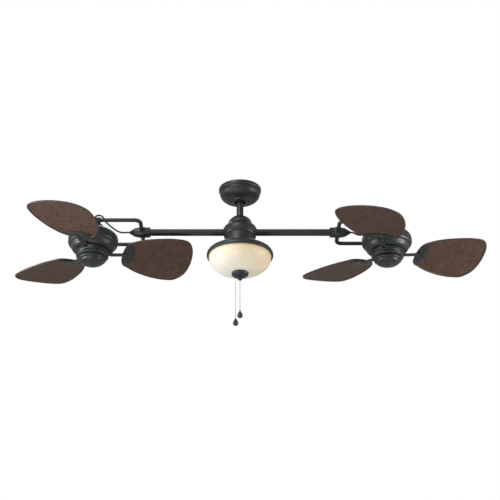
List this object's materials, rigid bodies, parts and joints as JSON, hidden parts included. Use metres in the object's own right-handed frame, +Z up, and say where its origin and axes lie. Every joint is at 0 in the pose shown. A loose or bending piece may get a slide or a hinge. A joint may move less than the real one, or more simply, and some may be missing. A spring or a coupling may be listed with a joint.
{
  "type": "twin head ceiling fan",
  "caption": "Twin head ceiling fan with woven leaf blades on tilting heads, a bowl light and two pull chains.",
  "frame": {"origin": "centre of the hanger bracket's top face, on the ceiling", "axes": "+Z up into the ceiling, +X along the arms to the right head"},
  "size_m": [1.8235, 0.7206, 0.5745],
  "materials": {
    "bronze": "satin dark bronze paint with a soft sheen",
    "zinc_steel": "zinc-plated steel",
    "cast_frame": "cast, unpainted",
    "black_plastic": "moulded, matte",
    "white_porcelain": "glazed white lamp holder",
    "lamp_glass": "frosted white lamp",
    "cream_glass": "etched cream glass",
    "rubber_washer": "soft washer",
    "brass": "antique brass",
    "cable_jacket": "black cable jacket",
    "stator_iron": "laminated steel with windings",
    "shaft_steel": "ground steel",
    "wicker": "woven palm, dark brown, satin"
  },
  "bodies": {
    "frame": {"ceiling_bracket": "zinc_steel", "hanger_ball": "black_plastic", "downrod": "bronze", "rod_pins": "zinc_steel", "canopy": "bronze", "canopy_ring": "bronze", "canopy_screws": "bronze", "centre_frame": "cast_frame", "dome_cover": "bronze", "switch_housing": "bronze", "left_arm": "bronze", "right_arm": "bronze", "arm_screws": "zinc_steel", "light_pan": "bronze", "lamp_holders": "white_porcelain", "bulbs": "lamp_glass", "glass_bowl": "cream_glass", "bowl_washer": "rubber_washer", "centre_rod": "brass", "bowl_cap": "bronze", "cap_knob": "bronze", "pull_switches": "black_plastic", "left_lock_ring": "bronze", "right_lock_ring": "bronze"},
    "fan_pull": {"fan_chain": "brass", "fan_pendant": "bronze"},
    "light_pull": {"light_chain": "brass", "light_pendant": "bronze"},
    "left_fork_frame": {"left_knuckle": "bronze", "left_fork": "bronze", "left_cable": "cable_jacket"},
    "left_motor": {"left_pivot_studs": "zinc_steel", "left_tilt_knobs": "bronze", "left_upper_shell": "bronze", "left_lower_shell": "bronze", "left_stator": "stator_iron", "left_bearings": "shaft_steel"},
    "left_rotor_set": {"left_rotor": "stator_iron", "left_shaft": "shaft_steel", "left_flywheel": "bronze", "left_blade_irons": "bronze", "left_blades": "wicker", "left_blade_screws": "bronze", "left_nose_cap": "bronze"},
    "right_fork_frame": {"right_knuckle": "bronze", "right_fork": "bronze", "right_cable": "cable_jacket"},
    "right_motor": {"right_pivot_studs": "zinc_steel", "right_tilt_knobs": "bronze", "right_upper_shell": "bronze", "right_lower_shell": "bronze", "right_stator": "stator_iron", "right_bearings": "shaft_steel"},
    "right_rotor_set": {"right_rotor": "stator_iron", "right_shaft": "shaft_steel", "right_flywheel": "bronze", "right_blade_irons": "bronze", "right_blades": "wicker", "right_blade_screws": "bronze", "right_nose_cap": "bronze"}
  },
  "joints": [
    {"name": "left_swivel", "type": "hinge", "parent": "frame", "child": "left_fork_frame", "pos_m": [-0.375, 0, -0.188], "axis": [1, 0, 0], "range_deg": [-18.5, 21.5]},
    {"name": "left_tilt", "type": "hinge", "parent": "left_fork_frame", "child": "left_motor", "pos_m": [-0.56, 0, -0.188], "axis": [0, 0.9997, -0.0262], "range_deg": [-5, 25], "deforming": ["left_cable"]},
    {"name": "left_spin", "type": "hinge", "parent": "left_motor", "child": "left_rotor_set", "pos_m": [-0.56, 0, -0.188], "axis": [0, -0.0262, -0.9997], "continuous": true},
    {"name": "right_swivel", "type": "hinge", "parent": "frame", "child": "right_fork_frame", "pos_m": [0.375, 0, -0.188], "axis": [1, 0, 0], "range_deg": [-21, 19]},
    {"name": "right_tilt", "type": "hinge", "parent": "right_fork_frame", "child": "right_motor", "pos_m": [0.56, 0, -0.188], "axis": [0, -0.9998, -0.0175], "range_deg": [-5, 25], "deforming": ["right_cable"]},
    {"name": "right_spin", "type": "hinge", "parent": "right_motor", "child": "right_rotor_set", "pos_m": [0.56, 0, -0.188], "axis": [0, 0.0175, -0.9998], "continuous": true},
    {"name": "fan_pull", "type": "slide", "parent": "frame", "child": "fan_pull", "axis": [0, 0, -1], "range_m": [0, 0.01], "stiffness_N_per_m": 600},
    {"name": "light_pull", "type": "slide", "parent": "frame", "child": "light_pull", "axis": [0, 0, -1], "range_m": [0, 0.01], "stiffness_N_per_m": 600}
  ]
}
